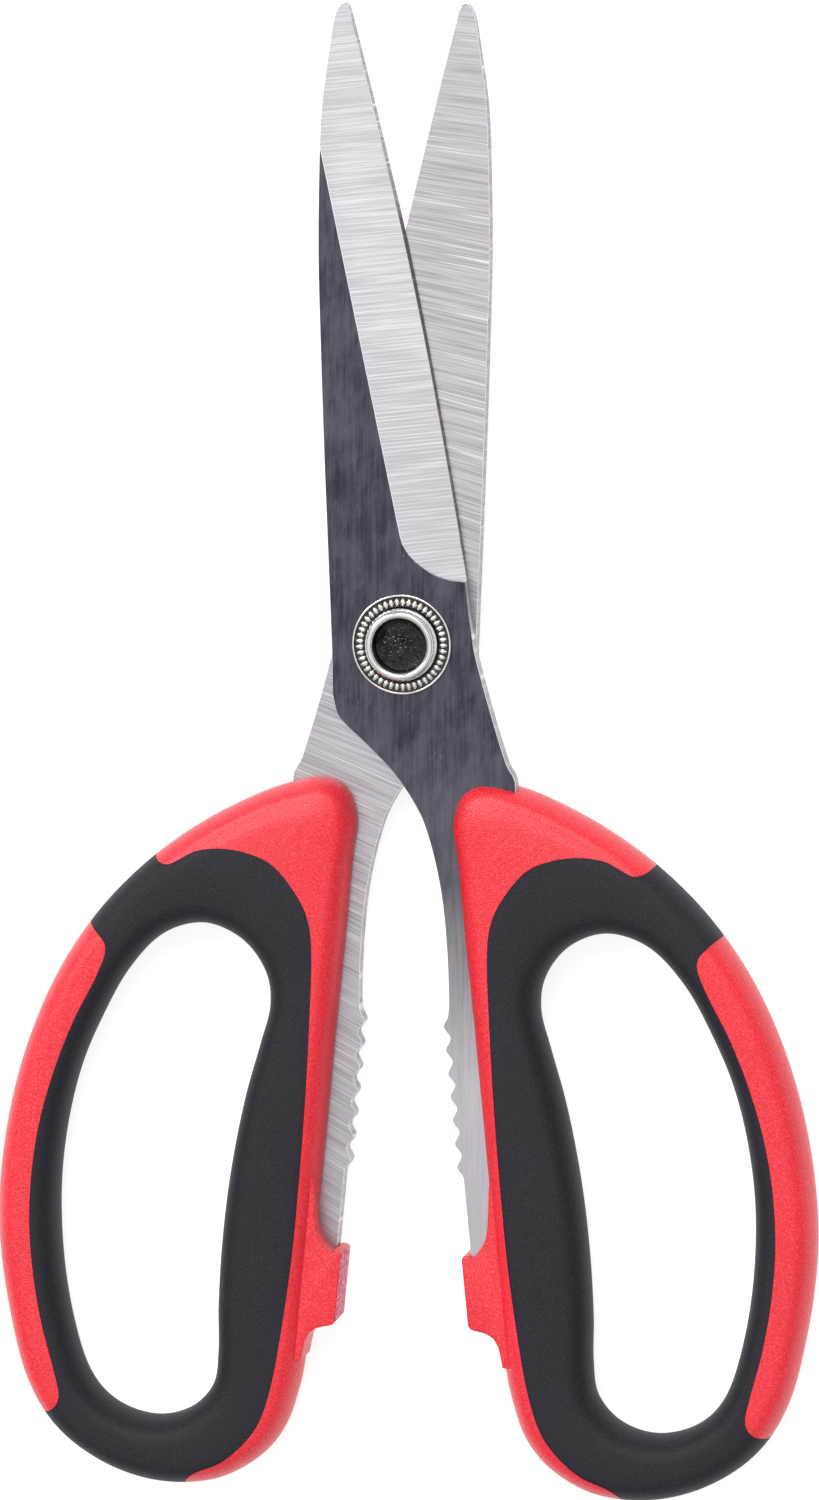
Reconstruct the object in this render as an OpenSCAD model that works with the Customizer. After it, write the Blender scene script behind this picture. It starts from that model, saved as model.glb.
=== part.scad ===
// Multi-purpose shears with a toothed gripping section between the handles.
// Two mirrored halves turn on one tubular rivet. Each half is a ground steel
// blade whose tang runs into a two-material handle with a large finger loop.
// Outlines are drawn for the closed shears and turned out by half the opening.
// +Z is the rivet's axis, +Y points to the blade tips, and z = 0 is the plane
// that the shears lie on.

/* [Overall] */
// Length of the closed shears, from the tips to the foot of the handles
overall_length = 213; // [190:1:235]
// Angle between the two halves as the shears lie
opening = 11; // [0:1:30]

/* [Blades] */
// Thickness of each blade's steel plate
blade_thickness = 2.8; // [2.2:0.1:3.2]
// Running gap between the two blades' inner faces
blade_gap = 0.06; // [0.04:0.01:0.2]
// Steel left under the ground bevel at the cutting edge
edge_thickness = 0.9; // [0.5:0.1:1.4]
// Width of the ground bevel, square to its own edge
bevel_width = 8.4; // [7:0.1:10]
// Number of gripping teeth on each tang
tooth_count = 7; // [3:1:8]
// Distance from one gripping tooth to the next
tooth_pitch = 3.34; // [2.8:0.01:3.6]
// Height of a gripping tooth
tooth_depth = 0.8; // [0.4:0.05:1.2]

/* [Rivet] */
// Diameter of the rivet's shank
shank_d = 8.6; // [7:0.1:10]
// Radial running clearance of the shank in the front blade
shank_clearance = 0.05; // [0.02:0.01:0.1]
// Diameter of the hollow in the rolled end of the rivet
hollow_d = 7.4; // [5:0.1:7.4]
// Outer diameter of the rosette washer under the rolled end
rosette_d = 14; // [13:0.1:16]
// Diameter of the head on the rear of the rivet
head_d = 13; // [12:0.1:16]

/* [Handles] */
// Thickness of the handles over both faces
handle_thickness = 11; // [10:0.1:13]
// Thickness of the stop pads that meet when the shears close
stop_thickness = 7.2; // [6.8:0.1:9]
// Clear space between the stop pads of the closed shears
stop_clearance = 0.5; // [0.3:0.1:1]
// Thickness of the hidden core under the soft grip
core_thickness = 6.6; // [6.2:0.1:7]
// Depth of soft grip over the edge of the hidden core
grip_depth = 1.6; // [1:0.1:2]

/* [Hidden] */

RED = "#e8303a";
BLACK = "#2c2d33";
STEEL = "#b9b6b8";
DARK_STEEL = "#4a4b54";
NICKEL = "#d9d3ca";

drawn_length = 213;
size = overall_length / drawn_length;
curve_steps = 4;

parting_z = handle_thickness / 2;
front_face_z = parting_z + blade_thickness;
rear_face_z = parting_z - blade_thickness;
plate = blade_thickness - blade_gap / 2;
bevel_angle = atan((blade_thickness - edge_thickness) / bevel_width);

first_tooth_y = -52.5;
tooth_line_x = 1.55;
tooth_points = 8;

// Rivet: heights stack up from the front blade's face
head_t = 1.5;
rosette_gap = 0.05;
rosette_z = front_face_z + rosette_gap;
flange_t = 0.5;
cone_h = 1;
roll_outer_d = 10.2;
roll_d = (roll_outer_d - hollow_d) / 2;
roll_gap = 0.02;
roll_z = rosette_z + cone_h + roll_gap + roll_d / 2;
hollow_floor_z = rosette_z + 0.4;

// A handle's rounded edge in steps: how far the outline draws in, and up to what
// height on each side of the parting plane
half_handle = handle_thickness / 2;
round_steps = [
    [0, core_thickness / 2],
    [0.5, half_handle * 0.8],
    [1.2, half_handle * 0.93],
    [2.4, half_handle]
];

// One point of a Catmull-Rom curve between knots b and c
function curve_point(a, b, c, d, t) =
    b + (c - a) * t / 2
      + (2 * a - 5 * b + 4 * c - d) * t * t / 2
      + (3 * b - a - 3 * c + d) * t * t * t / 2;

// A smooth run through knots, with its two ends kept
function smooth_run(k, steps = curve_steps) = [
    for (i = [0 : len(k) - 2])
        let (a = i == 0 ? 2 * k[0] - k[1] : k[i - 1])
        let (d = i == len(k) - 2 ? 2 * k[i + 1] - k[i] : k[i + 2])
        for (s = [0 : steps - 1])
            curve_point(a, k[i], k[i + 1], d, s / steps),
    k[len(k) - 1]
];

// A smooth closed loop through knots
function smooth_loop(k, steps = curve_steps) =
    let (n = len(k))
    [
        for (i = [0 : n - 1])
            for (s = [0 : steps - 1])
                curve_point(k[(i + n - 1) % n], k[i], k[(i + 1) % n],
                            k[(i + 2) % n], s / steps)
    ];

// Blade outline: down the spine, round the heel, along the inner edge of the
// tang with its teeth, back up inside the handle, and along the cutting edge
spine = smooth_run([
    [-0.3, 89.4], [-1.3, 87.8], [-2.5, 83], [-4, 76.3], [-5, 69.3], [-6.5, 55.8],
    [-7.5, 42], [-8.4, 28], [-9.2, 14], [-10, 0], [-10.5, -6]
]);
heel = smooth_run([
    [-10.5, -6.2], [-10.1, -9], [-9, -10.7], [-7.2, -12.7], [-5.4, -14.8],
    [-3.5, -17.1], [-1.8, -19.7], [-0.3, -22.6], [0.8, -25.6], [1.8, -31],
    [2.3, -37], [2.25, -44], [1.85, -50.5], [tooth_line_x, first_tooth_y]
]);
teeth = [
    for (i = [0 : tooth_count - 1])
        for (s = [1 : tooth_points])
            let (u = s / tooth_points)
            [
                tooth_line_x - tooth_depth * (1 - cos(360 * u)) / 2,
                first_tooth_y - tooth_pitch * (i + u)
            ]
];
tang_end = smooth_run([
    [1.55, -87.3], [2.9, -86.9], [4.3, -85.5], [5.1, -83.2], [8.2, -77], [9, -62],
    [9.4, -46], [11, -34], [14.1, -22], [13.1, -17.8], [11.9, -12.2],
    [10.7, -5.6], [10.1, -1.6], [9.8, 3]
]);
cutting_edge = smooth_run([
    [9.7, 8], [9.5, 13.6], [8.4, 28], [7.2, 42], [5.7, 56], [4.1, 67.5],
    [2.5, 78.5], [1, 88.2]
]);
blade_tip = [[0.7, 89.2], [0.3, 89.5]];
blade_outline = concat(spine, heel, teeth, tang_end, cutting_edge, blade_tip);

// Where the grinding wheel left the blade: the bevel's straight upper edge, and
// the rounded run-out beside the rivet
bevel_start = [1.2, 15];
bevel_lean = 6.3;
bevel_run_out = concat(
    [[14, 95], [-14, 95], [-14, bevel_start[1]]],
    smooth_run([bevel_start, [1.6, 13.4], [2.7, 11.6], [4.9, 9.6], [7.1, 8.5], [9.5, 8]]),
    [[14, 8]]
);

// Handle outline: from the red strip over the shoulder, round the outside of
// the loop and up to the stop pad
handle_outside = smooth_run([
    [4.5, -31], [4.3, -26], [6, -21.7], [9.7, -20.2], [15.4, -22], [21, -25],
    [27, -29.1], [33, -34.4], [38.5, -40.8], [43, -48], [46.4, -55.8],
    [48.9, -64.6], [50.3, -73.6], [50.7, -83], [49.9, -92], [47.6, -101.8],
    [44.2, -111.2], [39.2, -117.8], [32, -122], [24, -123.6], [16, -122.4],
    [10, -118.6], [6.6, -113.8], [5.1, -108], [4.6, -103]
]);
stop_face_x = stop_clearance / 2;
stop_corner = [-5, -104];
stop_size = [9.2, 18.5];
stop_edge = 0.4;
stop_pad = concat(
    smooth_run([[4.5, -101.8], [4.3, -100.1], [3.7, -98.8], [2.8, -98.1], [1, -97.5]], 3),
    [[0.5, -97.2], [stop_face_x, -96.7], [stop_face_x, -87.3], [0.6, -86.8]]
);
pocket_edge = [
    [1.4, -86.75], [1.75, -87.15], [2.6, -86.5], [3.45, -85.5], [4.05, -84.3],
    [4.35, -83], [4.5, -80], [4.6, -60]
];
handle_outline = concat(handle_outside, stop_pad, pocket_edge);

loop_outline = smooth_loop([
    [24.8, -42.9], [19.2, -44.4], [15.4, -48.4], [14.2, -53.2], [15.1, -59],
    [16.4, -66], [17.3, -73.5], [17.8, -81], [17.9, -89], [17.6, -97],
    [17, -103.5], [17.3, -108.6], [20.4, -112.6], [25.5, -114.4], [31.3, -113.2],
    [35.6, -109.2], [38.8, -101.5], [41, -92.5], [42.1, -83], [41.9, -74],
    [40.6, -65.5], [38.2, -58], [35.1, -51], [30.6, -45.3]
]);

// Edge of the soft grip on each face: over the top of the loop, down the inner
// strip, and out across the foot
grip_inner_edge = smooth_run([
    [33.2, -33.2], [31.6, -34.4], [29.9, -34.6], [28.2, -33.6], [26, -32.2],
    [22.5, -31.4], [18.5, -31.6], [14.8, -32.9], [11.3, -36.4], [9.2, -40],
    [8.2, -45], [7.6, -55], [7.2, -65], [7, -76], [7, -88], [7.5, -99],
    [8.3, -107.5], [10, -113.6], [14, -118.6], [19, -121.8], [21, -127]
]);
// Inner edge of the hard stripe along the outside of the loop
stripe_inner_edge = smooth_run([
    [42.5, -43.6], [39.4, -45.4], [37.7, -47.6], [38.7, -51.8], [41.2, -58],
    [43.3, -65], [44.8, -72.5], [45.4, -80], [45.1, -88], [43.8, -95.7],
    [41.9, -102.7], [39.6, -109], [38.6, -112.6], [39.8, -114.8], [43, -116]
]);

module front_half() {
    rotate([0, 0, opening / 2])
        scale([size, size, 1])
            children();
}

module back_half() {
    rotate([0, 0, -opening / 2])
        mirror([1, 0, 0])
            translate([0, 0, handle_thickness])
                mirror([0, 0, 1])
                    scale([size, size, 1])
                        children();
}

// Steel plate with its bevel, standing on the parting plane
module blade_plate() {
    difference() {
        translate([0, 0, parting_z + blade_gap / 2])
            linear_extrude(plate)
                polygon(blade_outline);
        intersection() {
            translate([bevel_start[0], bevel_start[1], front_face_z])
                rotate([0, 0, bevel_lean])
                    rotate([0, bevel_angle, 0])
                        translate([0, -20, 0])
                            cube([30, 110, 10]);
            translate([0, 0, parting_z])
                linear_extrude(blade_thickness + 1)
                    polygon(bevel_run_out);
        }
    }
}

module rivet_bore(r) {
    translate([0, 0, -1])
        cylinder(r = r, h = handle_thickness + 2, $fn = 96);
}

module front_blade() {
    color(DARK_STEEL)
        difference() {
            front_half() blade_plate();
            rivet_bore(shank_d / 2 + shank_clearance);
        }
}

module back_blade() {
    color(STEEL)
        difference() {
            back_half() blade_plate();
            rivet_bore(shank_d / 2);
        }
}

// Turned round section, closed by its axis
module turned(points) {
    rotate_extrude($fn = 96)
        polygon(points);
}

// Factory head at the rear, shank through both blades, and a tubular front end
// rolled outwards over the rosette washer
module pivot_rivet() {
    head_r = head_d / 2;
    shank_r = shank_d / 2;
    hollow_r = hollow_d / 2;
    color(NICKEL) {
        turned([
            [0, 0], [head_r - 2, 0], [head_r - 0.8, 0.3], [head_r, 0.9],
            [head_r, head_t], [shank_r, head_t], [shank_r, roll_z],
            [hollow_r, roll_z], [hollow_r, hollow_floor_z], [0, hollow_floor_z]
        ]);
        translate([0, 0, roll_z])
            rotate_extrude($fn = 96)
                translate([hollow_r + roll_d / 2, 0])
                    circle(d = roll_d, $fn = 32);
    }
}

// Pressed washer with a flat rim and a raised cone that carries the beads
module rosette_washer() {
    shank_r = shank_d / 2;
    rim_r = rosette_d / 2;
    color(NICKEL)
        turned([
            [shank_r, rosette_z], [rim_r, rosette_z], [rim_r, rosette_z + flange_t],
            [rim_r - 0.5, rosette_z + flange_t], [rim_r - 0.7, rosette_z + 0.25],
            [rim_r - 0.9, rosette_z + 0.25], [rim_r - 1.2, rosette_z + cone_h * 0.6],
            [rim_r - 1.8, rosette_z + cone_h], [shank_r, rosette_z + cone_h]
        ]);
}

// Dished washer that keeps the blades pressed together
module rear_spring_washer() {
    shank_r = shank_d / 2;
    rim_r = head_d / 2 - 0.3;
    dish = rear_face_z - head_t;
    color(NICKEL)
        turned([
            [shank_r, head_t], [shank_r + 1, head_t], [rim_r, rear_face_z - 0.5],
            [rim_r, rear_face_z], [rim_r - 0.4, rear_face_z],
            [shank_r + 0.8, head_t + dish * 0.55], [shank_r, head_t + dish * 0.55]
        ]);
}

// One handle's outline drawn in by a step of its rounded edge
module handle_face(inset) {
    offset(delta = -inset)
        difference() {
            polygon(handle_outline);
            polygon(loop_outline);
        }
}

// Everything on a face that stays hard: all but the soft grip
module hard_area() {
    difference() {
        translate([-10, -140])
            square([80, 130]);
        polygon(concat(grip_inner_edge, [[80, -127], [80, -33.2]]));
    }
    polygon(concat(stripe_inner_edge, [[70, -116], [70, -43.6]]));
}

// The stop pad is thinner than the handle
module stop_area() {
    translate(stop_corner)
        square(stop_size);
}

module slab(half_height) {
    translate([0, 0, parting_z - half_height])
        linear_extrude(2 * half_height)
            children();
}

// The part of the core that runs on inside the soft grip
module buried_core() {
    offset(delta = -grip_depth)
        handle_face(0);
}

// One step of the core's section, without the stop pad where it is too high
module hard_face(step) {
    difference() {
        intersection() {
            handle_face(step[0]);
            hard_area();
        }
        if (step[1] > stop_thickness / 2)
            stop_area();
    }
}

module core_blank() {
    for (step = round_steps)
        slab(step[1])
            hard_face(step);
    slab(stop_thickness / 2)
        intersection() {
            handle_face(stop_edge);
            stop_area();
        }
    slab(core_thickness / 2)
        buried_core();
}

module handle_core() {
    difference() {
        core_blank();
        translate([0, 0, parting_z + blade_gap / 2])
            linear_extrude(plate)
                polygon(blade_outline);
    }
}

module handle_grip() {
    difference() {
        for (step = round_steps)
            slab(step[1])
                difference() {
                    handle_face(step[0]);
                    hard_area();
                }
        slab(core_thickness / 2)
            buried_core();
    }
}

module right_handle_core() {
    color(RED) front_half() handle_core();
}

module right_handle_grip() {
    color(BLACK) front_half() handle_grip();
}

module left_handle_core() {
    color(RED) back_half() handle_core();
}

module left_handle_grip() {
    color(BLACK) back_half() handle_grip();
}

front_blade();
back_blade();
pivot_rivet();
rosette_washer();
rear_spring_washer();
right_handle_core();
right_handle_grip();
left_handle_core();
left_handle_grip();
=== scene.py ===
"""Multi-purpose shears: two stamped steel halves on one hollow rivet, with moulded loop handles."""
import math

import bmesh
import bpy
import numpy as np
from mathutils import Matrix, Vector


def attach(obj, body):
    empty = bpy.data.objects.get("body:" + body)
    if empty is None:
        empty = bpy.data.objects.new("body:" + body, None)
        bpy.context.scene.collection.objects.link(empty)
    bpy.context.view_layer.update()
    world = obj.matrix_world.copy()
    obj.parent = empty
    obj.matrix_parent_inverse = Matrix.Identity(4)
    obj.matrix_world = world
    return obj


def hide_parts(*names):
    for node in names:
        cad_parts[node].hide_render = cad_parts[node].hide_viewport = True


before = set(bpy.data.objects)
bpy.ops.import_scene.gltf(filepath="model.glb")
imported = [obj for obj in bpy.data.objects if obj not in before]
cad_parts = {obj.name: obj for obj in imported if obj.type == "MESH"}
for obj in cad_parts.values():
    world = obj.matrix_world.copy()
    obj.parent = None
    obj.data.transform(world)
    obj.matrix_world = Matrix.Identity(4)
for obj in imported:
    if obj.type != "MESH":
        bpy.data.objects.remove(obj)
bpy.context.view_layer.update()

# ---------------------------------------------------------------------------------------------
# Camera. It looks almost straight down at the shears as they lie on the table, from a little
# to the right of the rivet and a little towards the tips, with the tips at the top.

MM = 0.001
camera_target = Vector((0.00055, -0.01521, 0.0055))
camera_distance = 1.150
seen_half_height = 0.105
lean_right, lean_up = math.radians(10.5), math.radians(7.5)


def make_camera():
    toward = Vector((math.tan(lean_right), math.tan(lean_up), 1)).normalized()
    side = Vector((0, 1, 0)).cross(toward).normalized()
    up = toward.cross(side)
    data = bpy.data.cameras.new("table_camera")
    data.sensor_width = 36
    data.lens = data.sensor_width / 2 * camera_distance / seen_half_height
    data.clip_start, data.clip_end = 0.05, 50
    camera = bpy.data.objects.new("table_camera", data)
    camera.matrix_world = Matrix.Translation(camera_target + toward * camera_distance) @ Matrix(
        (side, up, toward)
    ).transposed().to_4x4()
    bpy.context.scene.collection.objects.link(camera)
    bpy.context.scene.camera = camera


make_camera()

# ---------------------------------------------------------------------------------------------
# Back blade and front blade: one stamping of hardened stainless steel, used twice. The outer
# face is blackened, the edge bevel and the whole inner face are ground bright, the sides stay
# satin from the press, and a narrow second bevel is honed along the cutting edge.

opening = math.radians(11)
parting_plane = 5.5 * MM
half_turn = Matrix.Translation((0, 0, parting_plane)) @ Matrix.Rotation(math.pi, 4, "Y")
turned_over = half_turn @ Matrix.Translation((0, 0, -parting_plane))
place_of = {
    "front_half": Matrix.Rotation(opening / 2, 4, "Z"),
    "back_half": Matrix.Rotation(-opening / 2, 4, "Z") @ turned_over,
}


def add_node(tree, kind, inputs=None, **settings):
    """One shader node; inputs maps a socket's name to a plain value or to the output that feeds it."""
    made = tree.nodes.new(kind)
    for key, value in settings.items():
        setattr(made, key, value)
    for key, value in (inputs or {}).items():
        if isinstance(value, bpy.types.NodeSocket):
            tree.links.new(value, made.inputs[key])
        else:
            made.inputs[key].default_value = value
    return made


def new_finish(name, **sockets):
    """A material, its node tree and its shader, with the constant values on the shader's own sockets."""
    material = bpy.data.materials.new(name)
    material.use_nodes = True
    shader = material.node_tree.nodes["Principled BSDF"]
    for key, value in sockets.items():
        shader.inputs[key.replace("_", " ")].default_value = value
    return material, material.node_tree, shader


def laid_along(tree, scale, turn=0.0):
    """Object coordinates turned about Z, then scaled: a pattern repeats about scale times a metre."""
    place = add_node(tree, "ShaderNodeTexCoord").outputs["Object"]
    turned = add_node(tree, "ShaderNodeMapping", {"Vector": place, "Rotation": (0, 0, turn)})
    return add_node(
        tree, "ShaderNodeMapping", {"Vector": turned.outputs["Vector"], "Scale": scale}
    ).outputs["Vector"]


def noise(tree, where, detail, roughness):
    return add_node(
        tree,
        "ShaderNodeTexNoise",
        {"Vector": where, "Scale": 1.0, "Detail": detail, "Roughness": roughness},
    ).outputs["Fac"]


def span(tree, value, low, high, to_low, to_high):
    """value from low to high becomes to_low to to_high, clamped."""
    return add_node(
        tree,
        "ShaderNodeMapRange",
        {"Value": value, "From Min": low, "From Max": high, "To Min": to_low, "To Max": to_high},
    ).outputs["Result"]


def blended(tree, factor, first, second):
    """Colour mix of first and second by factor."""
    made = tree.nodes.new("ShaderNodeMix")
    made.data_type = "RGBA"
    for index, value in ((0, factor), (6, first), (7, second)):
        if isinstance(value, bpy.types.NodeSocket):
            tree.links.new(value, made.inputs[index])
        else:
            made.inputs[index].default_value = value if index == 0 else (*value, 1.0)
    return made.outputs[2]


def bumped(tree, shader, height, strength, distance):
    """Shades the surface as if height pushed it in and out, by up to distance."""
    sizes = {"Height": height, "Strength": strength, "Distance": distance}
    made = add_node(tree, "ShaderNodeBump", sizes)
    tree.links.new(made.outputs["Normal"], shader.inputs["Normal"])


def computed(tree, operation, *values):
    """Result of one sum on plain values or outputs."""
    return add_node(tree, "ShaderNodeMath", dict(enumerate(values)), operation=operation).outputs[0]


def lengthwise(tree):
    """How far towards the tips a point lies."""
    place = add_node(tree, "ShaderNodeTexCoord").outputs["Object"]
    return add_node(tree, "ShaderNodeSeparateXYZ", {"Vector": place}).outputs["Y"]


def wheel_marks(tree, slope_at_tip, slope_at_tang, along_per_mm, across_per_mm):
    """Coordinates for grinding lines whose slope changes evenly from the tip to the end of the tang."""
    place = add_node(tree, "ShaderNodeTexCoord").outputs["Object"]
    part = add_node(tree, "ShaderNodeSeparateXYZ", {"Vector": place}).outputs
    slope = span(tree, part["Y"], 80 * MM, -80 * MM, slope_at_tip, slope_at_tang)
    rise = computed(tree, "MULTIPLY_ADD", part["X"], slope, part["Y"])
    lined = add_node(tree, "ShaderNodeCombineXYZ", {"X": part["X"], "Y": rise, "Z": part["Z"]})
    scale = (along_per_mm / MM, across_per_mm / MM, along_per_mm / MM)
    return add_node(
        tree, "ShaderNodeMapping", {"Vector": lined.outputs["Vector"], "Scale": scale}
    ).outputs["Vector"]


def ground_steel(name, bright, dark, slopes, lines_per_mm, roughness, depth, even=0.0, tang_darkening=0.0):
    """Steel off a grinding wheel: fine lines, up to depth mm deep, uneven in brightness. even adds
    a regular chatter, and the last argument makes the metal darker towards the end of the tang."""
    chatter_per_mm = 0.58
    low, high = 0.42, 0.74
    material, tree, shader = new_finish(name, Metallic=1.0)
    fine = noise(tree, wheel_marks(tree, *slopes, 0.09, lines_per_mm), 1.2, 0.7)
    broad = noise(tree, wheel_marks(tree, *slopes, 0.06, lines_per_mm * 0.2), 2.0, 0.5)
    scratch = noise(tree, wheel_marks(tree, *slopes, 0.045, lines_per_mm * 0.7), 1.0, 0.5)
    patchy = noise(tree, laid_along(tree, (55, 45, 55)), 2.0, 0.5)
    marks = computed(tree, "MULTIPLY_ADD", broad, 0.16, fine)
    if even:
        chatter = add_node(
            tree,
            "ShaderNodeTexWave",
            {
                "Vector": wheel_marks(tree, *slopes, 0.02, chatter_per_mm),
                "Scale": 1.0,
                "Distortion": 0.6,
                "Detail": 1.0,
            },
            bands_direction="Y",
        ).outputs["Fac"]
        where = span(tree, patchy, 0.42, 0.58, 0.0, even)
        chatter = computed(tree, "MULTIPLY", chatter, where)
        marks = computed(tree, "SUBTRACT", marks, chatter)
    colour = blended(tree, span(tree, marks, low, high, 0, 1), dark, bright)
    colour = blended(tree, span(tree, scratch, 0.66, 0.72, 0, 0.5), colour, (0.95, 0.94, 0.96))
    if tang_darkening:
        toward_tang_end = span(tree, lengthwise(tree), -10 * MM, -90 * MM, 0, tang_darkening)
        colour = blended(tree, toward_tang_end, colour, dark)
    tree.links.new(colour, shader.inputs["Base Color"])
    polish = span(tree, marks, low, high, roughness + 0.08, roughness - 0.05)
    tree.links.new(polish, shader.inputs["Roughness"])
    bumped(tree, shader, marks, 0.5, depth * MM)
    return material


def blackened_steel():
    """Oxide-blackened outer face: bluish grey, streaked and blotchy, with bare specks. The oxide
    thins out below the rivet and is gone from the tang."""
    material, tree, shader = new_finish("blackened_steel", Metallic=1.0)
    streak = noise(tree, laid_along(tree, (2600, 110, 2000)), 3.0, 0.65)
    blotch = noise(tree, laid_along(tree, (260, 130, 200), 0.3), 5.0, 0.68)
    speck = noise(tree, laid_along(tree, (4200, 1500, 3800)), 2.0, 0.6)
    shade = blended(
        tree, span(tree, streak, 0.3, 0.7, 0, 1), (0.036, 0.035, 0.048), (0.084, 0.082, 0.105)
    )
    shade = blended(tree, span(tree, blotch, 0.46, 0.70, 0, 0.75), shade, (0.125, 0.122, 0.148))
    shade = blended(tree, span(tree, blotch, 0.46, 0.32, 0, 0.6), shade, (0.028, 0.027, 0.038))
    shade = blended(tree, span(tree, speck, 0.72, 0.80, 0, 0.7), shade, (0.36, 0.35, 0.37))
    ragged = computed(tree, "MULTIPLY_ADD", streak, -6 * MM, lengthwise(tree))
    worn_from, worn_to, bare_from, bare_to = -13 * MM, -25 * MM, -37 * MM, -64 * MM
    worn = span(tree, lengthwise(tree), worn_from, worn_to, 0, 0.1)
    bare = span(tree, ragged, bare_from, bare_to, 0, 1)
    steel = blended(tree, span(tree, streak, 0.3, 0.7, 0, 1), (0.44, 0.415, 0.44), (0.51, 0.485, 0.51))
    shade = blended(tree, bare, blended(tree, worn, shade, steel), steel)
    tree.links.new(shade, shader.inputs["Base Color"])
    tree.links.new(span(tree, blotch, 0.3, 0.7, 0.44, 0.30), shader.inputs["Roughness"])
    bumped(tree, shader, streak, 0.3, 0.02 * MM)
    return material


# Slope of the wheel's lines at the tip and at the end of the tang
level, cross_slope, inner_slope = (0.0, 0.0), (-0.10, -0.10), (0.09, 0.62)
steel_finishes = [
    blackened_steel(),
    ground_steel(
        "ground_inner_face", bright=(0.57, 0.545, 0.58), dark=(0.33, 0.31, 0.335),
        slopes=inner_slope, lines_per_mm=4.8, roughness=0.34, depth=0.014, tang_darkening=0.45,
    ),
    ground_steel(
        "ground_bevel", bright=(0.80, 0.785, 0.825), dark=(0.52, 0.51, 0.54),
        slopes=cross_slope, lines_per_mm=4.8, roughness=0.26, depth=0.008, even=0.25,
    ),
    ground_steel(
        "pressed_side", bright=(0.38, 0.37, 0.39), dark=(0.31, 0.30, 0.32),
        slopes=level, lines_per_mm=1.2, roughness=0.4, depth=0.012,
    ),
    ground_steel(
        "honed_edge", bright=(0.44, 0.43, 0.45), dark=(0.26, 0.25, 0.27),
        slopes=level, lines_per_mm=3.0, roughness=0.3, depth=0.008,
    ),
    # The broken corners are bare steel, and their colour, lighter than any ground face, is a painted
    # highlight along the edges.
    ground_steel(
        "broken_corner", bright=(0.92, 0.91, 0.93), dark=(0.70, 0.69, 0.71),
        slopes=level, lines_per_mm=1.0, roughness=0.22, depth=0.005,
    ),
]  # fmt: skip
OUTER, INNER, BEVEL, SIDE, HONED, CORNER = range(6)

# The honed bevel's width, and the share of it at places along the edge, in mm from the rivet
hone_width = 0.42 * MM
hone_along = [(8, 0), (12, 0.5), (36, 0.65), (56, 1), (86, 0.6), (88.8, 0.3), (89.1, 0)]
# Every point of the edge lies lower than this, and the run-out at the heel lies higher
cutting_edge_height = 6.62 * MM
# How far the bevel climbs for each step across the blade
bevel_angle, edge_lean = math.radians(12.75), math.radians(6.3)
bevel_slope = math.tan(bevel_angle) * math.cos(edge_lean)
corner_break, shortest_edge = 0.05 * MM, 0.06 * MM
# The low step where the bevel runs out beside the rivet keeps sharp corners
runout_top, runout_side = 14 * MM, 1.5 * MM
same_place, flat_enough, side_crease = 0.001 * MM, math.radians(0.05), math.radians(24)
# How squarely a face points up if it is flat or a bevel, and sideways if it is a wall of the edge
flat_up, bevel_up, edge_side = 0.995, 0.8, 0.7


def face_zone(face):
    """Which finish a face of the stamping has, from the way its normal points."""
    up = face.normal.z
    if up > flat_up:
        return OUTER
    if up < -flat_up:
        return INNER
    return BEVEL if up > bevel_up else SIDE


def hone(bm):
    """Slants the wall of the cutting edge into a narrow second bevel."""
    for face in bm.faces:
        face.material_index = face_zone(face)
    walls = [face for face in bm.faces if face.material_index == SIDE and face.normal.x > edge_side]
    edge_verts = {
        vert
        for face in walls
        for vert in face.verts
        if vert.co.z < cutting_edge_height and BEVEL in {near.material_index for near in vert.link_faces}
    }
    places, shares = zip(*hone_along)
    moved = set()
    for vert in edge_verts:
        width = hone_width * float(np.interp(vert.co.y / MM, places, shares))
        if width > 0:
            vert.co.x -= width
            vert.co.z += width * bevel_slope
            moved.add(vert)
    for face in walls:
        if moved & set(face.verts):
            face.material_index = HONED


def shade_by_zone(bm):
    """Flat faces stay flat, and the curved sides shade smoothly up to their corners."""
    for face in bm.faces:
        face.smooth = face.material_index in (SIDE, HONED, CORNER)
    for edge in bm.edges:
        zones = {face.material_index for face in edge.link_faces}
        edge.smooth = len(zones) == 1 and edge.calc_face_angle(0) < side_crease


def is_corner(edge):
    """Whether two finishes meet at an edge that isn't on the step of the run-out."""
    zones = {face.material_index for face in edge.link_faces}
    middle = (edge.verts[0].co + edge.verts[1].co) / 2
    at_runout = 0 < middle.y < runout_top and middle.x > runout_side and INNER not in zones
    return len(zones) > 1 and not at_runout


def blade(node, body, name):
    """The stamping's own solid, honed, with every corner between two finishes slightly broken."""
    bm = bmesh.new()
    bm.from_mesh(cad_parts[node].data)
    bmesh.ops.remove_doubles(bm, verts=bm.verts, dist=same_place)
    bm.transform(place_of[body].inverted())
    bmesh.ops.dissolve_limit(
        bm, angle_limit=flat_enough, verts=[], edges=bm.edges, use_dissolve_boundaries=False
    )
    bmesh.ops.remove_doubles(bm, verts=bm.verts, dist=shortest_edge)
    bm.normal_update()
    hone(bm)
    bm.normal_update()
    bmesh.ops.bevel(
        bm,
        geom=[edge for edge in bm.edges if is_corner(edge)],
        offset=corner_break,
        segments=2,
        profile=0.6,
        affect="EDGES",
        clamp_overlap=False,
        material=CORNER,
    )
    shade_by_zone(bm)
    bm.transform(place_of[body])
    mesh = bpy.data.meshes.new(name)
    bm.to_mesh(mesh)
    bm.free()
    for finish in steel_finishes:
        mesh.materials.append(finish)
    made = bpy.data.objects.new(name, mesh)
    bpy.context.scene.collection.objects.link(made)
    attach(made, body)
    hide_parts(node)


blade("back_blade", "back_half", "back_blade_steel")
blade("front_blade", "front_half", "front_blade_steel")

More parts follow.
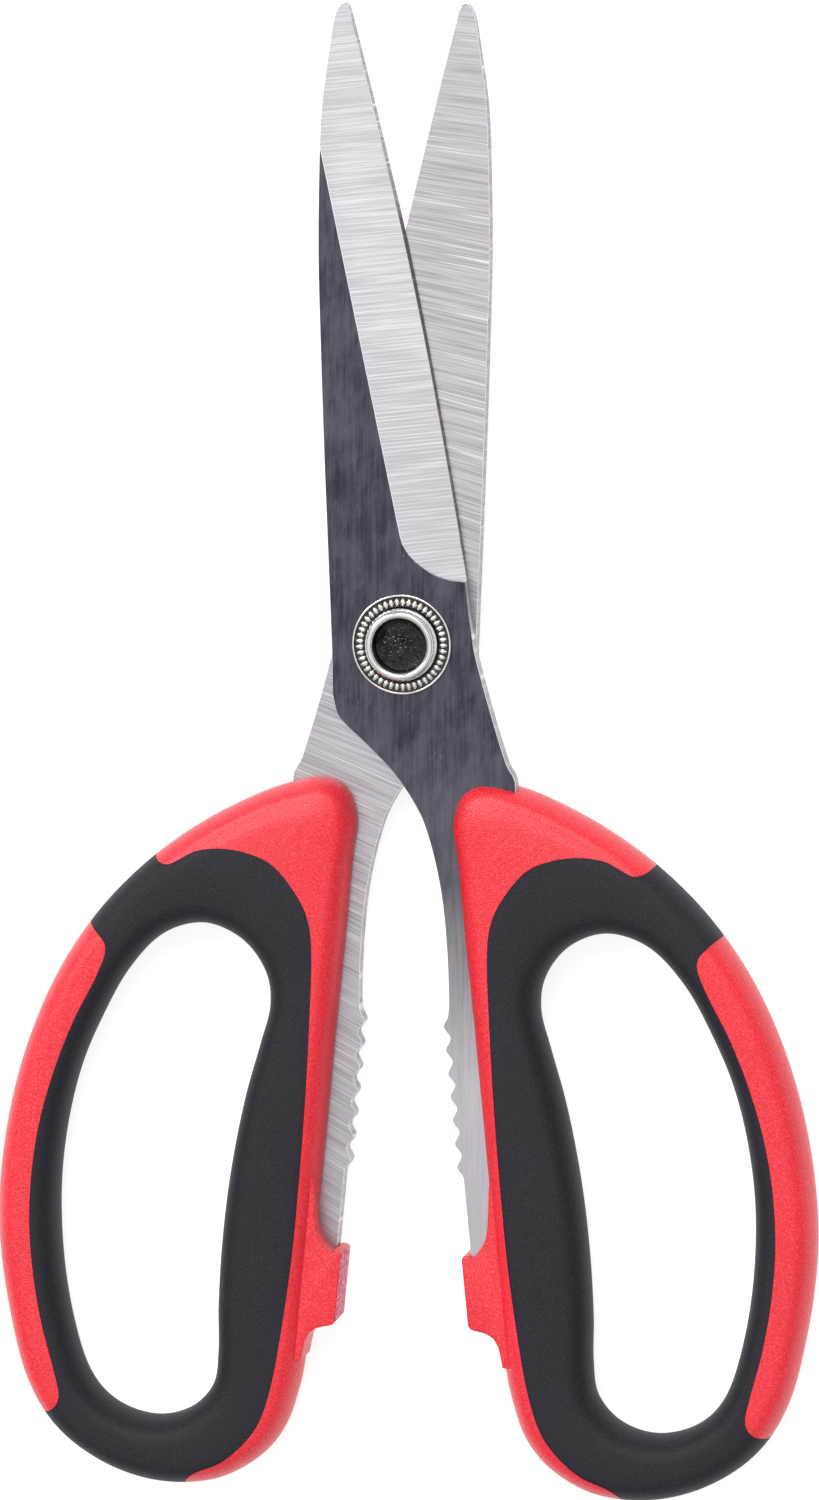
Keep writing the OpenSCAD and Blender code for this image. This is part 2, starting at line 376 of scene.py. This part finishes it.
# ---------------------------------------------------------------------------------------------
# Handles, the hard part: a ring of red ABS moulded round the toothed tang, with the shoulder, the
# stop pad and a band along the loop's outer side. Only these, which show, are made here, without
# the ring under the grip or the tang's pocket. The left handle is the right one turned over.

handle_half_height = 5.5 * MM
edge_rounding, dome_reach, dome_share = 3.2 * MM, 12 * MM, 0.26
groove_depth, groove_inset, groove_width = 0.22 * MM, 2.9 * MM, 0.75 * MM
groove_from, groove_full = -40 * MM, -31 * MM
groove_side, groove_fade = 5.5 * MM, 3 * MM
# Each rounded band takes at most this share of the moulding's width
rounding_power, band_share = 2.3, 1 / 2.3
hole_points, rim_points, shoulder_points, band_points = 480, 620, 150, 110
rays, rounding_steps, middle_steps = 240, 9, 22
# Finger hole, from its top round the tang side to the bottom and back
hole_knots = [
    (24.8, -42.9), (19.2, -44.4), (15.4, -48.4), (14.2, -53.2), (15.1, -59), (16.4, -66),
    (17.3, -73.5), (17.8, -81), (17.9, -89), (17.6, -97), (17, -103.5), (17.3, -108.6),
    (20.4, -112.6), (25.5, -114.4), (31.3, -113.2), (35.6, -109.2), (38.8, -101.5),
    (41, -92.5), (42.1, -83), (41.9, -74), (40.6, -65.5), (38.2, -58), (35.1, -51),
    (30.6, -45.3),
]  # fmt: skip
# Outside of the handle, from the shoulder down the tang side and round the loop
rim_knots = [
    (27, -29.1), (21, -25), (15.4, -22), (9.7, -20.2), (6, -21.7), (4.3, -26), (4.5, -31),
    (4.5, -43), (4.6, -55), (4.6, -66), (4.6, -76), (4.6, -86), (4.6, -95), (4.6, -103),
    (5.1, -108), (6.6, -113.8), (10, -118.6), (16, -122.4), (24, -123.6), (32, -122),
    (39.2, -117.8), (44.2, -111.2), (47.6, -101.8), (49.9, -92), (50.7, -83), (50.3, -73.6),
    (48.9, -64.6), (46.4, -55.8), (43, -48), (38.5, -40.8), (33, -34.4),
]  # fmt: skip
# Where a line straight across the handle from each hole knot meets the outside, in knots
across = [
    0.3, 2.0, 5.6, 7.2, 8.1, 8.9, 9.7, 10.45, 11.25, 12.2, 13.2, 14.6, 16.6, 18.1, 19.5, 20.9,
    22, 22.95, 24, 25, 25.9, 26.75, 27.7, 29.3, 31.3,
]  # fmt: skip
# Line between the hard shoulder and the soft grip, from the outside over the top to the bottom
shoulder_line = [
    (33.2, -33.2), (31.6, -34.4), (29.9, -34.6), (28.2, -33.6), (26, -32.2), (22.5, -31.4),
    (18.5, -31.6), (14.8, -32.9), (11.3, -36.4), (9.2, -40), (8.2, -45), (7.6, -55), (7.2, -65),
    (7, -76), (7, -88), (7.5, -99), (8.3, -107.5), (10, -113.6), (14, -118.6), (19, -121.8),
    (21, -127),
]  # fmt: skip
# Line between the soft grip and the hard band on the loop's outer side, from its top to its bottom
band_line = [
    (42.5, -43.6), (39.4, -45.4), (37.7, -47.6), (38.7, -51.8), (41.2, -58), (43.3, -65),
    (44.8, -72.5), (45.4, -80), (45.1, -88), (43.8, -95.7), (41.9, -102.7), (39.6, -109),
    (38.6, -112.6), (39.8, -114.8), (43, -116),
]  # fmt: skip


def on_curve(knots, at, closed=True):
    """Points of the smooth curve through the knots at the knot numbers in at."""
    knots, count = np.array(knots, float), len(knots)
    at = np.asarray(at, float)
    first = np.floor(at).astype(int)
    if not closed:
        first = np.minimum(first, count - 2)
    t = (at - first)[:, None]

    def knot(i):
        return knots[i % count] if closed else knots[np.clip(i, 0, count - 1)]

    a, b, c, d = (knot(first + shift) for shift in (-1, 0, 1, 2))
    return 0.5 * (
        2 * b + (c - a) * t + (2 * a - 5 * b + 4 * c - d) * t**2 + (3 * b - a - 3 * c + d) * t**3
    )


def away_from(points, line):
    """Distance of each point from a closed line of points."""
    start, end = line, np.roll(line, -1, axis=0)
    along = end - start
    rel = points[:, None, :] - start[None]
    t = np.clip((rel * along).sum(2) / (along**2).sum(1), 0, 1)
    return np.sqrt(((rel - t[..., None] * along) ** 2).sum(2)).min(1)


def rounded(distance, radius):
    """Share of the full height at a distance in from an edge that is rounded over radius."""
    inward = np.clip(distance / radius, 0, 1)
    return (1 - (1 - inward) ** rounding_power) ** (1 / rounding_power)


def section_height(points, hole_line, rim_line, half_height):
    """Height of the moulding over the parting plane: rounded edges, a slight dome, and the shallow
    groove that follows the top of the shoulder."""
    from_hole, from_rim = (away_from(points, line) * MM for line in (hole_line, rim_line))
    tight = rounded(from_hole, edge_rounding) * rounded(from_rim, edge_rounding)
    domed = rounded(from_hole, dome_reach) * rounded(from_rim, dome_reach)
    high_up = np.clip((points[:, 1] * MM - groove_from) / (groove_full - groove_from), 0, 1)
    outer_side = np.clip((points[:, 0] * MM - groove_side) / groove_fade, 0, 1)
    groove = np.exp(-(((from_rim - groove_inset) / groove_width) ** 2)) * high_up * outer_side
    return half_height * tight * (1 - dome_share + dome_share * domed) - groove_depth * groove


def handle_blank(half_height):
    """The whole handle as one closed skin, in the closed position: a ring of cross-sections."""
    count = len(hole_knots)
    step = np.arange(rays) * count / rays
    inner = on_curve(hole_knots, step)
    outer = on_curve(rim_knots, np.interp(step, range(count + 1), across))
    width = np.linalg.norm(outer - inner, axis=1)
    ease = 1 - np.cos(np.linspace(0, math.pi / 2, rounding_steps + 1))
    near = np.minimum(edge_rounding / MM, width * band_share)
    left = ease[None] * (near / width)[:, None]
    middle = np.linspace(0, 1, middle_steps + 1)[None, 1:-1]
    across_share = np.hstack(
        [left, left[:, -1:] + middle * (1 - 2 * left[:, -1:]), 1 - left[:, ::-1]]
    )
    flat = inner[:, None] + across_share[..., None] * (outer - inner)[:, None]
    dense_hole = on_curve(hole_knots, np.linspace(0, count, hole_points, endpoint=False))
    dense_rim = on_curve(rim_knots, np.linspace(0, len(rim_knots), rim_points, endpoint=False))
    points = flat.reshape(-1, 2)
    rise = section_height(points, dense_hole, dense_rim, half_height).reshape(across_share.shape)
    rise[:, 0] = rise[:, -1] = 0
    return closed_skin(flat * MM, rise)


def closed_skin(flat, rise):
    """Joins the upper and lower surface of a ring of cross-sections into one closed mesh."""
    bm = bmesh.new()
    across_count = flat.shape[1]
    rings = []
    for points, heights in zip(flat, rise):
        top = [bm.verts.new((x, y, parting_plane + h)) for (x, y), h in zip(points, heights)]
        bottom = [
            bm.verts.new((x, y, parting_plane - h))
            for (x, y), h in list(zip(points, heights))[across_count - 2 : 0 : -1]
        ]
        rings.append(top + bottom)
    around = len(rings[0])
    for i, ring in enumerate(rings):
        following = rings[(i + 1) % len(rings)]
        for j in range(around):
            k = (j + 1) % around
            bm.faces.new((ring[j], following[j], following[k], ring[k]))
    bmesh.ops.recalc_face_normals(bm, faces=bm.faces)
    return bm


def prism(outline, low, high):
    """A closed upright block over an outline."""
    bm = bmesh.new()
    base = bm.faces.new([bm.verts.new((x * MM, y * MM, low)) for x, y in outline])
    raised = bmesh.ops.extrude_face_region(bm, geom=[base])["geom"]
    for vert in [v for v in raised if isinstance(v, bmesh.types.BMVert)]:
        vert.co.z = high
    bmesh.ops.recalc_face_normals(bm, faces=bm.faces)
    return bm


def as_object(bm, name):
    mesh = bpy.data.meshes.new(name)
    bm.to_mesh(mesh)
    bm.free()
    made = bpy.data.objects.new(name, mesh)
    bpy.context.scene.collection.objects.link(made)
    return made


def combined(first, second, how, name):
    """Boolean of two objects, which are used up, as a new plain mesh object."""
    step = first.modifiers.new("cut", "BOOLEAN")
    step.object, step.operation, step.solver = second, how, "EXACT"
    mesh = bpy.data.meshes.new_from_object(first.evaluated_get(bpy.context.evaluated_depsgraph_get()))
    made = bpy.data.objects.new(name, mesh)
    bpy.context.scene.collection.objects.link(made)
    for used in (first, second):
        bpy.data.objects.remove(used)
    return made


def hard_zone():
    """Upright blocks over everything that shows in the hard plastic."""
    shoulder_at = np.linspace(0, len(shoulder_line) - 1, shoulder_points)
    band_at = np.linspace(0, len(band_line) - 1, band_points)
    beyond = 30 * MM
    # Corners well clear of the handle, level with the ends of the two lines
    clear_left, clear_right, clear_top = -20, 70, -5
    above = [(clear_left, shoulder_line[-1][1]), (clear_left, clear_top), (shoulder_line[0][0], clear_top)]
    beside = [(clear_right, band_line[-1][1]), (clear_right, band_line[0][1])]
    zone = prism([*on_curve(shoulder_line, shoulder_at, closed=False), *above], -beyond, beyond)
    outside = prism([*on_curve(band_line, band_at, closed=False), *beside], -beyond, beyond)
    spare = bpy.data.meshes.new("spare")
    outside.to_mesh(spare)
    outside.free()
    zone.from_mesh(spare)
    return as_object(zone, "hard_zone")


stop_half_height, stop_rounding, sawn_within = 3.6 * MM, 0.25 * MM, 0.4 * MM
cut_slack, moulded_crease = 0.01 * MM, math.radians(40)
stop_outline = [
    (7, -104), (4.6, -103), (4.5, -101.8), (4.3, -100.1), (3.7, -98.8), (2.8, -98.1),
    (1.9, -97.75), (1, -97.5), (0.5, -97.2), (0.25, -96.7), (0.25, -87.3), (0.4, -86.95),
    (0.7, -86.8), (1.4, -86.75), (1.75, -87.15), (2.6, -86.5), (3.45, -85.5),
    (4.05, -84.3), (4.35, -83), (4.65, -81), (5.0, -78), (5.7, -74), (7, -70),
]  # fmt: skip


def stop_pad():
    """The small block that meets its twin on the other handle when the shears are closed."""
    bm = prism(stop_outline, parting_plane - stop_half_height, parting_plane + stop_half_height)
    bmesh.ops.bevel(
        bm,
        geom=[e for e in bm.edges if abs(e.verts[0].co.z - e.verts[1].co.z) < same_place],
        offset=stop_rounding,
        segments=3,
        profile=0.5,
        affect="EDGES",
        clamp_overlap=False,
    )
    bmesh.ops.recalc_face_normals(bm, faces=bm.faces)
    return as_object(bm, "stop_pad")


def cut_plastic():
    """Where the sprue was sliced off the stop pad: paler, torn and pitted."""
    material, tree, shader = new_finish("cut_plastic", Roughness=0.6)
    torn = noise(tree, laid_along(tree, (2600, 2200, 1500)), 3.0, 0.7)
    colour = blended(tree, span(tree, torn, 0.42, 0.60, 0, 1), (0.42, 0.02, 0.06), (0.86, 0.28, 0.42))
    tree.links.new(colour, shader.inputs["Base Color"])
    bumped(tree, shader, torn, 0.9, 0.12 * MM)
    return material


def moulded_finish(name, colour, shade, grain_glint, roughness, grain, **sockets):
    """Moulded plastic: even colour with faint flow marks, and the fine grain of an eroded mould,
    whose high spots get a lighter colour: painted glints where the grain catches the light."""
    material, tree, shader = new_finish(name, **sockets)
    flow = noise(tree, laid_along(tree, (70, 50, 90)), 3.0, 0.5)
    eroded = noise(tree, laid_along(tree, (5000, 5000, 5000)), 1.5, 0.6)
    base = blended(tree, span(tree, flow, 0.3, 0.7, 0, 1), colour, shade)
    # Painted glints: the grain's high spots take the lighter colour.
    base = blended(tree, span(tree, eroded, 0.46, 0.74, 0, 1), base, grain_glint)
    tree.links.new(base, shader.inputs["Base Color"])
    satin = span(tree, eroded, 0.3, 0.7, roughness - 0.05, roughness + 0.05)
    tree.links.new(satin, shader.inputs["Roughness"])
    bumped(tree, shader, eroded, grain, 0.10 * MM)
    return material


# Its lighter flecks are painted glints on the grain.
red_plastic = moulded_finish(
    "red_abs", colour=(0.70, 0.009, 0.022), shade=(0.64, 0.007, 0.018),
    grain_glint=(0.90, 0.065, 0.095), roughness=0.34, grain=0.8, Specular_IOR_Level=0.5,
)  # fmt: skip


def finished(made, materials):
    """Cleans the cut of a handle piece and shades its moulded surface smooth. A second material
    goes on the sawn face of the stop pad."""
    bm = bmesh.new()
    bm.from_mesh(made.data)
    bmesh.ops.remove_doubles(bm, verts=bm.verts, dist=cut_slack)
    bmesh.ops.dissolve_degenerate(bm, dist=cut_slack, edges=bm.edges)
    for face in bm.faces:
        faces_left = face.normal.x < -0.9
        sawn = faces_left and face.calc_center_median().x < sawn_within
        face.material_index = int(sawn and len(materials) > 1)
    made.data.materials.clear()
    for material in materials:
        made.data.materials.append(material)
    bm.to_mesh(made.data)
    bm.free()
    made.data.shade_smooth()
    made.data.set_sharp_from_angle(angle=moulded_crease)
    return made


def fit_pair(master, node_ending, piece_ending):
    """Puts the one moulding on both halves: as it is on the right, turned over on the left."""
    for side, body in (("right", "front_half"), ("left", "back_half")):
        mesh = master.data.copy()
        mesh.transform(place_of[body])
        made = bpy.data.objects.new(f"{side}_{piece_ending}", mesh)
        bpy.context.scene.collection.objects.link(made)
        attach(made, body)
        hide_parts(f"{side}_{node_ending}")
    bpy.data.objects.remove(master)


hard_blank = as_object(handle_blank(handle_half_height), "blank")
hard_ring = combined(hard_blank, hard_zone(), "INTERSECT", "hard_ring")
hard_part = combined(hard_ring, stop_pad(), "UNION", "hard_part")
hard_part = finished(hard_part, [red_plastic, cut_plastic()])
fit_pair(hard_part, "handle_core", "handle_shell")

# ---------------------------------------------------------------------------------------------
# Handles, the soft part: black thermoplastic rubber moulded over the hard ring all round the
# finger hole. It is matt, picks up dust, and lies a hair lower than the hard part beside it.
# Here it is solid, with no ring inside.

soft_step = 0.10 * MM
# Its lighter specks are painted glints on the grain, which also stand for dust.
black_rubber = moulded_finish(
    "black_rubber", colour=(0.0055, 0.0045, 0.0100), shade=(0.0080, 0.0070, 0.0135),
    grain_glint=(0.026, 0.024, 0.034), roughness=0.58, grain=0.8, Specular_IOR_Level=0.3,
)  # fmt: skip
soft_blank = as_object(handle_blank(handle_half_height - soft_step), "blank")
soft_part = combined(soft_blank, hard_zone(), "DIFFERENCE", "soft_part")
soft_part = finished(soft_part, [black_rubber])
fit_pair(soft_part, "handle_grip", "loop_grip")

# ---------------------------------------------------------------------------------------------
# Hollow pivot rivet: nickel-plated steel. Its flat head lies under the back blade, its tube goes
# through both blades, and its open end is rolled outward over the rosette washer.

head_radius, head_flat, head_height = 6.5 * MM, 4.5 * MM, 1.5 * MM
shank_radius, hollow_radius, hollow_floor = 4.3 * MM, 3.7 * MM, 8.75 * MM
roll_radius, roll_middle, roll_height = 0.56 * MM, 4.34 * MM, 10.2 * MM
round_segments, turned_crease = 128, math.radians(32)


def turned(profile, name, zone=None):
    """A closed profile of (radius, height) points turned about the pivot axis. zone(radius, height)
    gives the number of a face's finish from the middle of its stretch of the profile."""
    bm = bmesh.new()
    rings = []
    for i in range(round_segments):
        angle = 2 * math.pi * i / round_segments
        rings.append([bm.verts.new((r * math.cos(angle), r * math.sin(angle), z)) for r, z in profile])
    for i, ring in enumerate(rings):
        following = rings[(i + 1) % round_segments]
        for j in range(len(profile)):
            k = (j + 1) % len(profile)
            if profile[j][0] > 0 or profile[k][0] > 0:
                face = bm.faces.new((ring[j], following[j], following[k], ring[k]))
                middle = [(a + b) / 2 for a, b in zip(profile[j], profile[k])]
                face.material_index = zone(*middle) if zone else 0
    bmesh.ops.remove_doubles(bm, verts=bm.verts, dist=same_place)
    bmesh.ops.dissolve_degenerate(bm, dist=same_place, edges=bm.edges)
    bmesh.ops.recalc_face_normals(bm, faces=bm.faces)
    return as_object(bm, name)


def eased(profile, ease):
    """The profile with each corner off the axis rounded over the distance ease, in five points."""
    points = [Vector(p) for p in profile]
    side_share = 0.45
    made = []
    for i, corner in enumerate(points):
        if corner.x == 0:
            made.append(tuple(corner))
            continue
        before, after = points[i - 1] - corner, points[(i + 1) % len(points)] - corner
        start = corner + before.normalized() * min(ease, before.length * side_share)
        end = corner + after.normalized() * min(ease, after.length * side_share)
        for t in (0, 0.25, 0.5, 0.75, 1):
            made.append(tuple(start * (1 - t) ** 2 + corner * 2 * t * (1 - t) + end * t**2))
    return made


def nickel_plate(name, colour, roughness, wear):
    """Bright nickel with tiny dents and a faint uneven polish, darker by wear where it is cloudy."""
    material, tree, shader = new_finish(name, Metallic=1.0)
    cloudy = noise(tree, laid_along(tree, (900, 900, 900)), 3.0, 0.6)
    dents = noise(tree, laid_along(tree, (2400, 2400, 2400)), 2.0, 0.5)
    worn = tuple(c * wear for c in colour)
    tint = blended(tree, span(tree, cloudy, 0.3, 0.7, 0, 1), colour, worn)
    tree.links.new(tint, shader.inputs["Base Color"])
    polish = span(tree, cloudy, 0.3, 0.7, roughness, roughness + 0.14)
    tree.links.new(polish, shader.inputs["Roughness"])
    bumped(tree, shader, dents, 0.1, 0.02 * MM)
    return material


def in_place(made, materials, node, name):
    """Names and finishes a turned piece, and fixes it to the back half."""
    made.name = name
    for material in materials:
        made.data.materials.append(material)
    made.data.shade_smooth()
    made.data.set_sharp_from_angle(angle=turned_crease)
    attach(made, "back_half")
    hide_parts(node)


def rivet_profile():
    """Half section of the rivet, from the middle of the head round the outside to the hollow's
    floor. The tube's top corner, whose five points are dropped, gives way to the rolled rim."""
    outside = [
        (0, 0), (head_flat, 0), (head_radius, head_height * 0.62), (head_radius, head_height),
        (shank_radius, head_height), (shank_radius, roll_height - 0.5 * MM),
    ]  # fmt: skip
    roll = [
        (roll_middle + roll_radius * math.cos(angle), roll_height + roll_radius * math.sin(angle))
        for angle in map(math.radians, range(-20, 201, 10))
    ]
    inside = [(hollow_radius, roll_height - 0.7 * MM), (hollow_radius, hollow_floor + 0.35 * MM)]
    corner = [
        (hollow_radius - 0.1 * MM, hollow_floor + 0.12 * MM),
        (hollow_radius - 0.4 * MM, hollow_floor),
    ]
    floor = [(r * MM, hollow_floor) for r in (2.9, 2.5, 2.1, 1.7, 1.3, 0.9, 0.5)]
    return [*eased(outside, 0.15 * MM)[:-5], *roll, *inside, *corner, *floor, (0, hollow_floor)]


def bare_hollow():
    """Inside of the rivet: unplated steel, rough from the punch, near-black with painted shade and
    with painted glints near its middle.
    """
    material, tree, shader = new_finish("bare_hollow", Metallic=1.0, Roughness=0.38)
    grains = noise(tree, laid_along(tree, (4200, 4200, 4200)), 2.0, 0.7)
    stain = noise(tree, laid_along(tree, (600, 600, 600)), 3.0, 0.6)
    place = add_node(tree, "ShaderNodeTexCoord").outputs["Object"]
    # Painted glints: the grain lights up round one spot near the middle of the floor.
    glint_middle = (-0.7 * MM, 0.2 * MM, hollow_floor)
    off_middle = add_node(
        tree, "ShaderNodeVectorMath", {0: place, 1: glint_middle}, operation="DISTANCE"
    ).outputs["Value"]
    near = span(tree, off_middle, 0.8 * MM, 2.4 * MM, 1.0, 0.25)
    glint = computed(tree, "MULTIPLY", span(tree, grains, 0.60, 0.70, 0, 1), near)
    # Near-black steel with faint stains: painted shade down in the hollow.
    dark = blended(tree, span(tree, stain, 0.35, 0.65, 0, 1), (0.010, 0.009, 0.008), (0.030, 0.026, 0.023))
    tree.links.new(blended(tree, glint, dark, (0.42, 0.38, 0.36)), shader.inputs["Base Color"])
    bumped(tree, shader, grains, 0.9, 0.10 * MM)
    return material


def rivet_zone(radius, height):
    """The hollow below the rolled rim is bare steel in painted shade; the rest is plated."""
    in_hollow = hollow_floor - 0.1 * MM < height < roll_height - 0.45 * MM
    return int(in_hollow and radius < roll_middle - 0.5 * roll_radius)


polished_nickel = nickel_plate("polished_nickel", (0.80, 0.765, 0.75), roughness=0.10, wear=0.86)
rivet = turned(rivet_profile(), "rivet", rivet_zone)
in_place(rivet, [polished_nickel, bare_hollow()], "pivot_rivet", "hollow_rivet")

# ---------------------------------------------------------------------------------------------
# Rosette washer: a pressed nickel-plated dish between the front blade and the rolled rim. It has
# a thin raised lip, a sunk ring filled with small radial beads, and a shoulder up to the rivet.

rosette_z = 8.35 * MM
bead_count, bead_length, bead_width, bead_height = 45, 1.25 * MM, 0.72 * MM, 0.6 * MM
bead_circle, bead_lift = 5.88 * MM, 0.32 * MM
# Near-black copy of the nickel: painted shade in the sunk ring between the lip and the shoulder.
sunk_nickel = nickel_plate("sunk_nickel", (0.06, 0.055, 0.052), roughness=0.30, wear=0.7)
washer_profile = [
    (4.35, 0), (7.0, 0), (7.0, 0.42), (6.76, 0.46), (6.66, 0.2), (5.3, 0.2), (5.12, 0.75),
    (4.95, 1.0), (4.35, 1.0),
]  # fmt: skip
sunk_from, sunk_to, above_base = 5.1 * MM, 6.7 * MM, 0.1 * MM


def washer_zone(radius, height):
    """The sunk ring between the lip and the shoulder gets the near-black nickel: painted shade in the
    recess.
    """
    return int(sunk_from < radius < sunk_to and height > rosette_z + above_base)


washer_section = [(r * MM, rosette_z + z * MM) for r, z in eased(washer_profile, 0.07)]
washer = turned(washer_section, "washer", washer_zone)
in_place(washer, [polished_nickel, sunk_nickel], "rosette_washer", "rosette_dish")


def bead_tree():
    """Geometry nodes: one flattened bead, set round a circle and pointing at its middle."""
    tree = bpy.data.node_groups.new("bead_ring", "GeometryNodeTree")
    inputs = (
        ("Count", "NodeSocketInt"),
        ("Circle Radius", "NodeSocketFloat"),
        ("Height", "NodeSocketFloat"),
        ("Bead Size", "NodeSocketVector"),
        ("Finish", "NodeSocketMaterial"),
    )
    for name, kind in inputs:
        tree.interface.new_socket(name, in_out="INPUT", socket_type=kind)
    tree.interface.new_socket("Geometry", in_out="OUTPUT", socket_type="NodeSocketGeometry")
    given = tree.nodes.new("NodeGroupInput").outputs
    round_line = {"Vertices": given["Count"], "Radius": given["Circle Radius"]}
    circle = add_node(tree, "GeometryNodeMeshCircle", round_line)
    bead = add_node(tree, "GeometryNodeMeshUVSphere", {"Segments": 12, "Rings": 8, "Radius": 0.5})
    flattened = {"Geometry": bead.outputs["Mesh"], "Scale": given["Bead Size"]}
    shaped = add_node(tree, "GeometryNodeTransform", flattened)
    place = add_node(tree, "GeometryNodeInputPosition")
    from_middle = {"Vector": place.outputs["Position"]}
    outward = add_node(tree, "FunctionNodeAlignEulerToVector", from_middle, axis="X", pivot_axis="Z")
    set_round = add_node(
        tree,
        "GeometryNodeInstanceOnPoints",
        {
            "Points": circle.outputs["Mesh"],
            "Instance": shaped.outputs["Geometry"],
            "Rotation": outward.outputs["Rotation"],
        },
    )
    lift = add_node(tree, "ShaderNodeCombineXYZ", {"Z": given["Height"]})
    lifted = add_node(
        tree,
        "GeometryNodeTransform",
        {"Geometry": set_round.outputs["Instances"], "Translation": lift.outputs["Vector"]},
    )
    real = add_node(tree, "GeometryNodeRealizeInstances", {"Geometry": lifted.outputs["Geometry"]})
    coated = add_node(
        tree, "GeometryNodeSetMaterial", {"Geometry": real.outputs["Geometry"], "Material": given["Finish"]}
    )
    tree.links.new(coated.outputs["Geometry"], tree.nodes.new("NodeGroupOutput").inputs["Geometry"])
    return tree


def grown(tree, name, **values):
    """Runs a geometry-nodes tree with the given inputs and keeps the result as a plain mesh object."""
    seed = bpy.data.objects.new(name, bpy.data.meshes.new(name))
    bpy.context.scene.collection.objects.link(seed)
    step = seed.modifiers.new("grow", "NODES")
    step.node_group = tree
    for item in tree.interface.items_tree:
        key = item.name.replace(" ", "_")
        if item.in_out == "INPUT" and key in values:
            step[item.identifier] = values[key]
    mesh = bpy.data.meshes.new_from_object(seed.evaluated_get(bpy.context.evaluated_depsgraph_get()))
    seed.modifiers.clear()
    seed.data = mesh
    return seed


# A lighter copy of the washer's nickel: painted highlight on the beads.
bead_nickel = nickel_plate("bead_nickel", (0.86, 0.85, 0.83), roughness=0.12, wear=0.8)
beads = grown(
    bead_tree(),
    "rosette_beads",
    Count=bead_count,
    Circle_Radius=bead_circle,
    Height=rosette_z + bead_lift,
    Bead_Size=(bead_length, bead_width, bead_height),
    Finish=bead_nickel,
)
beads.data.shade_smooth()
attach(beads, "back_half")

# ---------------------------------------------------------------------------------------------
# Rear spring washer: a dished ring of spring steel between the rivet head and the back blade.
# It keeps the two blades pressed together, and only its outer edge shows.

spring_profile = [(4.35, 1.5), (6.2, 2.3), (6.2, 2.7), (5.9, 2.7), (4.35, 1.95)]
spring_section = [(r * MM, z * MM) for r, z in eased(spring_profile, 0.06)]
spring = turned(spring_section, "spring")
in_place(spring, [polished_nickel], "rear_spring_washer", "spring_washer")

# ---------------------------------------------------------------------------------------------
# Table and light: a plain table that glows near-white, white light from all round, and two soft
# lamps beyond the tips, one of them to the left.


def make_table():
    reach, drop = 6.0, 0.05 * MM
    bm = bmesh.new()
    corners = [(-reach, -reach), (reach, -reach), (reach, reach), (-reach, reach)]
    bm.faces.new([bm.verts.new((x, y, -drop)) for x, y in corners])
    table_top = as_object(bm, "table_top")
    material, tree, shader = new_finish("light_table", Roughness=0.9, Specular_IOR_Level=0.1)
    shader.inputs["Base Color"].default_value = (0.40, 0.40, 0.40, 1)
    shader.inputs["Emission Color"].default_value = (1, 1, 1, 1)
    shader.inputs["Emission Strength"].default_value = 0.80
    table_top.data.materials.append(material)


def make_sky():
    """White light, much darker half way up so that round metal shows its shape."""
    world = bpy.data.worlds.new("even_light")
    world.use_nodes = True
    tree = world.node_tree
    direction = add_node(tree, "ShaderNodeTexCoord").outputs["Generated"]
    height = add_node(tree, "ShaderNodeSeparateXYZ", {"Vector": direction}).outputs["Z"]
    ramp = add_node(tree, "ShaderNodeValToRGB", {"Fac": height})
    bands = ((0.0, 1.0), (0.14, 0.95), (0.26, 0.30), (0.62, 0.42), (0.84, 1.0), (1.0, 1.05))
    stops = ramp.color_ramp.elements
    while len(stops) < len(bands):
        stops.new(0.5)
    for stop, (place, shade) in zip(stops, bands):
        stop.position = place
        stop.color = (shade, shade, shade, 1)
    tree.links.new(ramp.outputs["Color"], tree.nodes["Background"].inputs["Color"])
    tree.nodes["Background"].inputs["Strength"].default_value = 1.0
    bpy.context.scene.world = world


def make_lamp(name, size, power, place):
    data = bpy.data.lights.new(name, "AREA")
    data.size, data.energy = size, power
    lamp = bpy.data.objects.new(name, data)
    lamp.location = place
    lamp.rotation_euler = Vector(place).to_track_quat("Z", "Y").to_euler()
    bpy.context.scene.collection.objects.link(lamp)


make_table()
make_sky()
make_lamp("head_lamp", size=0.7, power=11, place=(0.05, 0.95, 1.30))
make_lamp("side_lamp", size=0.5, power=10, place=(-0.80, 0.55, 1.15))
bpy.context.scene.view_settings.view_transform = "Standard"
